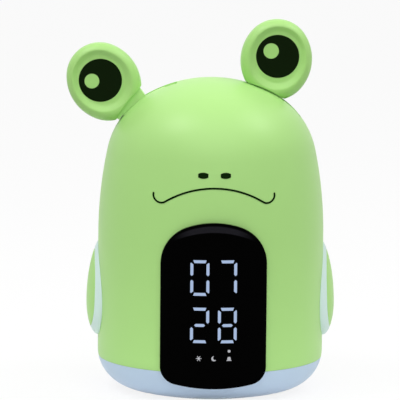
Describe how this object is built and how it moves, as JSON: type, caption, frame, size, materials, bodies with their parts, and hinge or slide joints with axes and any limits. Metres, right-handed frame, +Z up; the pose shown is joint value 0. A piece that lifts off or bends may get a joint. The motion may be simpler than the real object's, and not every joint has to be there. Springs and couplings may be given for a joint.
{
  "type": "alarm clock with night light",
  "caption": "Frog-shaped alarm clock and night light: domed body, curved black display, side grips, rear keys and disc eyes on levers that tilt outwards.",
  "frame": {"origin": "centre of the foot ring on the table, under the axis of the body", "axes": "+Z up, -Y the way the face and display look, +X to the right as seen from the front"},
  "size_m": [0.1267, 0.1087, 0.1741],
  "materials": {
    "leaf_green": "satin, light green",
    "sky_blue": "satin, pale blue",
    "mint": "satin, pale mint",
    "dark_green": "satin, very dark green",
    "black_gloss": "polished black",
    "lamp_white": "frosted, lit from behind",
    "smoked": "smoked",
    "chalk": "moulded white",
    "board": "solder mask",
    "dark_plastic": "moulded black",
    "paper_cone": "pressed paper",
    "ribbon": "flat cable",
    "steel": "plated",
    "cell_jacket": "plain jacket",
    "rubber": "matt"
  },
  "bodies": {
    "housing": {"body_shell": "leaf_green", "base_tray": "sky_blue", "foot_ring": "rubber", "battery_cells": "cell_jacket", "battery_contacts": "steel", "base_screws": "steel", "lens": "black_gloss", "light_box": "chalk", "digit_bars_lit": "lamp_white", "digit_bars_unlit": "smoked", "status_signs": "lamp_white", "alarm_dot": "lamp_white", "display_board": "board", "display_leds": "lamp_white", "display_screws": "steel", "display_ribbon": "ribbon", "mouth_line": "dark_green", "nostrils": "dark_green", "left_side_ring": "mint", "left_side_pad": "leaf_green", "right_side_ring": "mint", "right_side_pad": "leaf_green", "side_lamp_boards": "board", "rear_panel": "leaf_green", "button_board": "board", "speaker_basket": "steel", "speaker_cone": "paper_cone", "speaker_magnet": "steel", "speaker_screws": "steel", "power_inlet": "steel", "main_board": "board", "board_parts": "dark_plastic", "board_screws": "steel", "lever_bracket": "chalk", "lever_pins": "steel", "brake_shoes": "chalk", "brake_springs": "steel", "lever_switches": "dark_plastic", "bracket_screws": "steel"},
    "left_eye": {"left_eye_lever": "leaf_green", "left_eye_front": "leaf_green", "left_eye_back": "leaf_green", "left_pupil": "dark_green", "left_eye_screws": "steel"},
    "right_eye": {"right_eye_lever": "leaf_green", "right_eye_front": "leaf_green", "right_eye_back": "leaf_green", "right_pupil": "dark_green", "right_eye_screws": "steel"},
    "battery_lid": {"battery_door": "sky_blue"},
    "key_light": {"button_light": "mint"},
    "key_minus": {"button_minus": "mint"},
    "key_plus": {"button_plus": "mint"},
    "key_alarm": {"button_alarm": "mint"}
  },
  "joints": [
    {"name": "left_eye_tilt", "type": "hinge", "parent": "housing", "child": "left_eye", "pos_m": [-0.0201, 0, 0.111], "axis": [0, 1, 0], "range_deg": [0, 29.8]},
    {"name": "right_eye_tilt", "type": "hinge", "parent": "housing", "child": "right_eye", "pos_m": [0.0201, 0, 0.111], "axis": [0, 1, 0], "range_deg": [0, 29.8]},
    {"name": "battery_lid_turn", "type": "hinge", "parent": "housing", "child": "battery_lid", "pos_m": [0, 0, 0], "axis": [0, 0, 1], "range_deg": [0, 30]},
    {"name": "key_light_press", "type": "slide", "parent": "housing", "child": "key_light", "axis": [0, -1, 0], "range_m": [0, 0.001], "stiffness_N_per_m": 400, "springref_m": -0.0005},
    {"name": "key_minus_press", "type": "slide", "parent": "housing", "child": "key_minus", "axis": [0, -1, 0], "range_m": [0, 0.001], "stiffness_N_per_m": 400, "springref_m": -0.0005},
    {"name": "key_plus_press", "type": "slide", "parent": "housing", "child": "key_plus", "axis": [0, -1, 0], "range_m": [0, 0.001], "stiffness_N_per_m": 400, "springref_m": -0.0005},
    {"name": "key_alarm_press", "type": "slide", "parent": "housing", "child": "key_alarm", "axis": [0, -1, 0], "range_m": [0, 0.001], "stiffness_N_per_m": 400, "springref_m": -0.0005}
  ]
}
